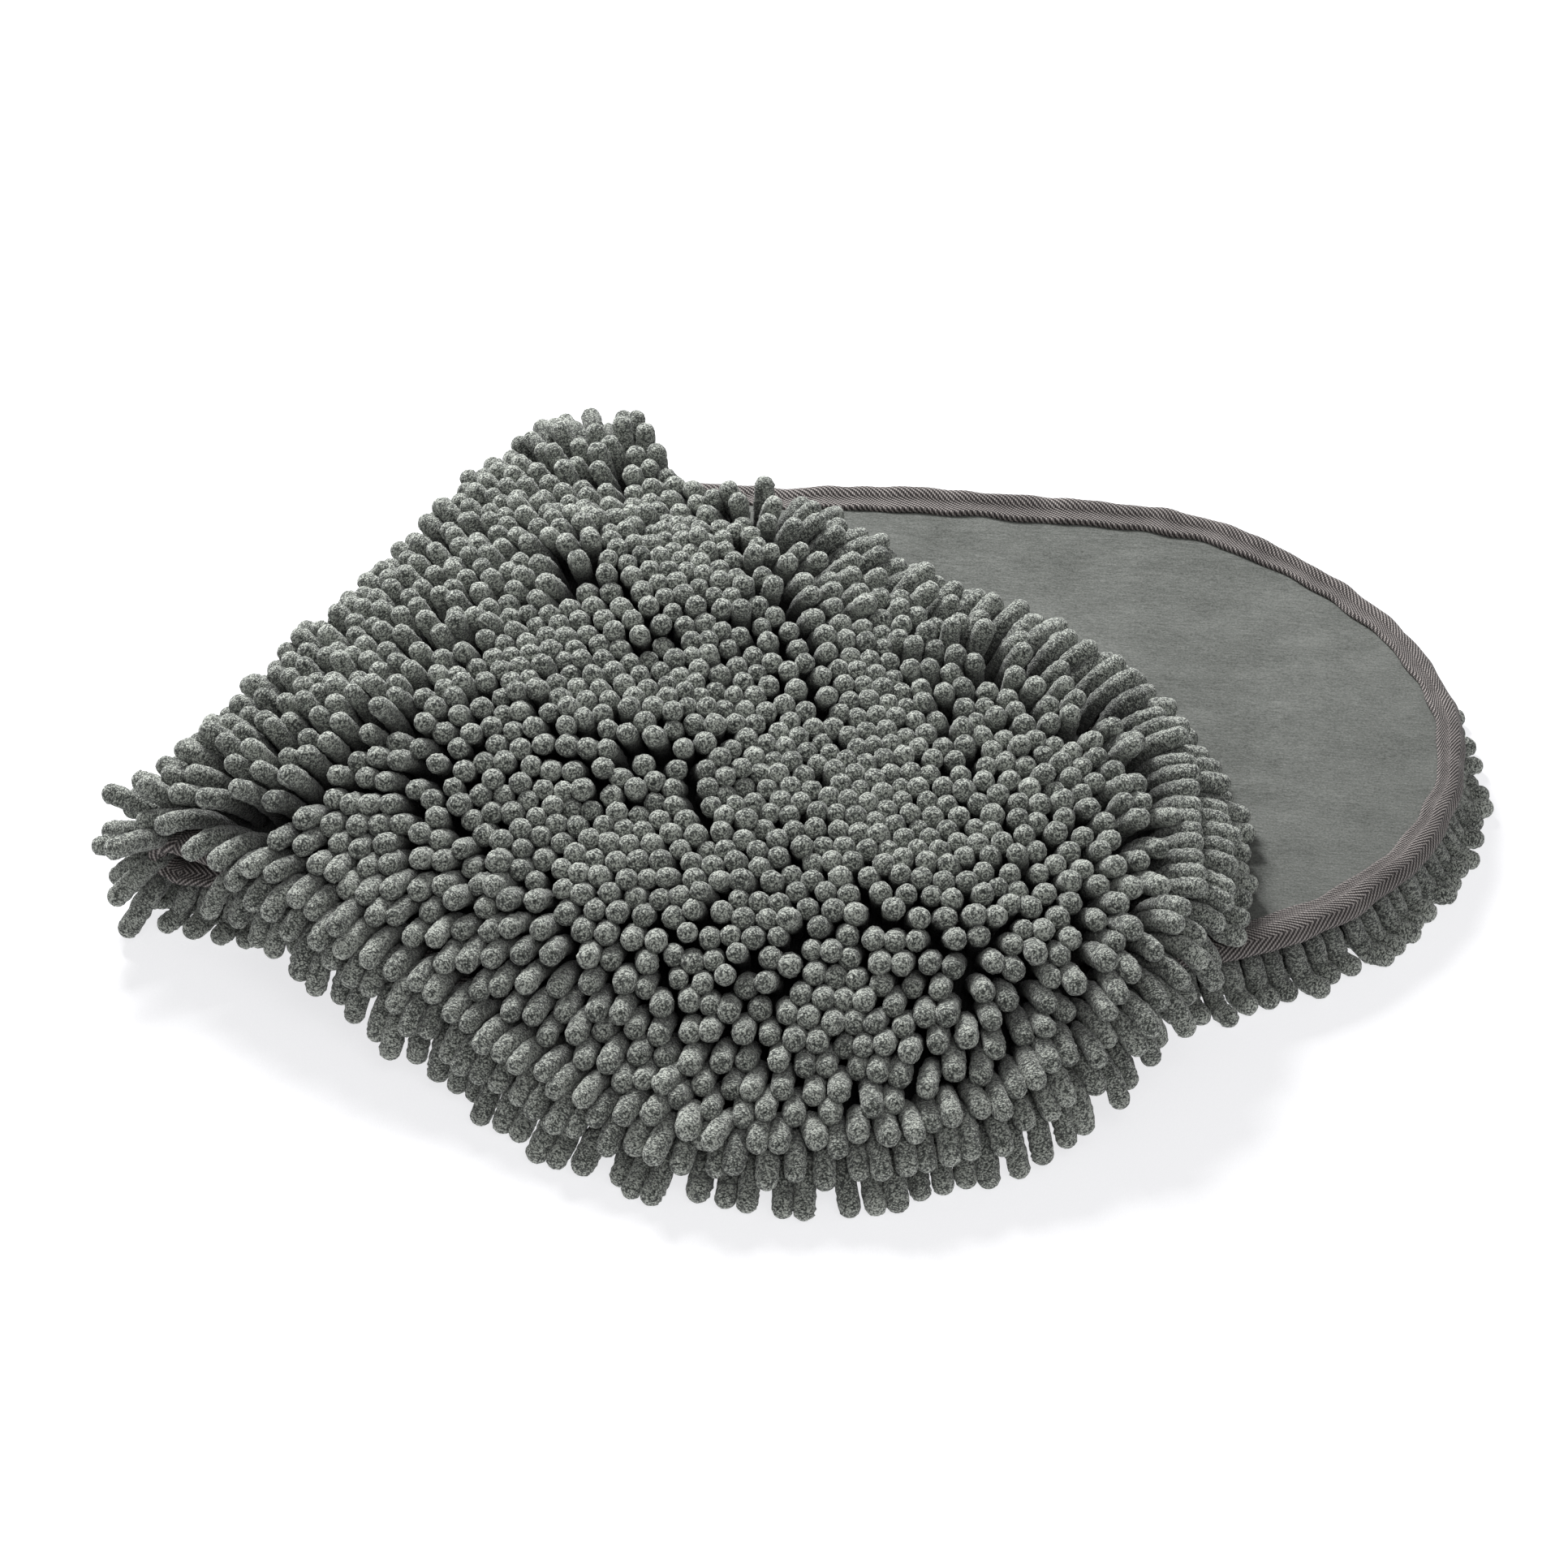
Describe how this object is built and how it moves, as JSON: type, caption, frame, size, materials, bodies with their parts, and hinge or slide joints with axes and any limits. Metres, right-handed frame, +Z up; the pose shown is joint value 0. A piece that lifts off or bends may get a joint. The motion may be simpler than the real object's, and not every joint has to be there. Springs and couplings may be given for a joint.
{
  "type": "wash mitt",
  "caption": "Double-ended chenille wash mitt: one long strip with round ends and a hand pocket at each, bound with tape and folded over, pile outwards.",
  "frame": {"origin": "on the ground, under the lower half's middle line", "axes": "+X along the lower half towards its round end, +Z up from the ground to the pile of the upper half"},
  "size_m": [0.4117, 0.3375, 0.0657],
  "materials": {
    "chenille_pile": "matte plush chenille",
    "base_cloth": "matte knit",
    "pocket_fabric": "smooth suede-like microfibre",
    "binding_tape": "herringbone woven tape",
    "thread": "spun sewing thread"
  },
  "bodies": {
    "lower_half": {"chenille_base_lower": "base_cloth", "chenille_pile_lower": "chenille_pile", "pocket_panel_lower": "pocket_fabric", "pocket_mouth_binding_lower": "binding_tape", "edge_binding_lower": "binding_tape", "edge_stitching_lower": "thread", "mouth_stitching_lower": "thread", "bartack_lower_front": "thread", "bartack_lower_back": "thread"},
    "fold_segment_1": {"chenille_base_fold_1": "base_cloth", "chenille_pile_fold_1": "chenille_pile", "edge_binding_fold_front_1": "binding_tape", "edge_binding_fold_back_1": "binding_tape"},
    "fold_segment_2": {"chenille_base_fold_2": "base_cloth", "chenille_pile_fold_2": "chenille_pile", "edge_binding_fold_front_2": "binding_tape", "edge_binding_fold_back_2": "binding_tape"},
    "upper_half": {"chenille_base_upper": "base_cloth", "chenille_pile_upper": "chenille_pile", "pocket_panel_upper": "pocket_fabric", "pocket_mouth_binding_upper": "binding_tape", "edge_binding_upper": "binding_tape", "edge_stitching_upper": "thread", "mouth_stitching_upper": "thread", "bartack_upper_front": "thread", "bartack_upper_back": "thread"}
  },
  "joints": [
    {"name": "fold_hinge", "type": "hinge", "parent": "lower_half", "child": "upper_half", "pos_m": [-0.12547, 0.00194, 0.02462], "axis": [-0.3338, -0.9426, 0], "range_deg": [0, 180]},
    {"name": "fold_lower_hinge", "type": "hinge", "parent": "lower_half", "child": "fold_segment_1", "pos_m": [-0.12, 0, 0.0196], "axis": [-0.3338, -0.9426, 0], "range_deg": [0, 60]},
    {"name": "fold_upper_hinge", "type": "hinge", "parent": "upper_half", "child": "fold_segment_2", "pos_m": [-0.12, 0, 0.02965], "axis": [-0.3338, -0.9426, 0], "range_deg": [-60, 0]}
  ],
  "couplings": [
    {"joint": "fold_lower_hinge", "follows": "fold_hinge", "ratio": 0.33333},
    {"joint": "fold_upper_hinge", "follows": "fold_hinge", "ratio": -0.33333}
  ]
}
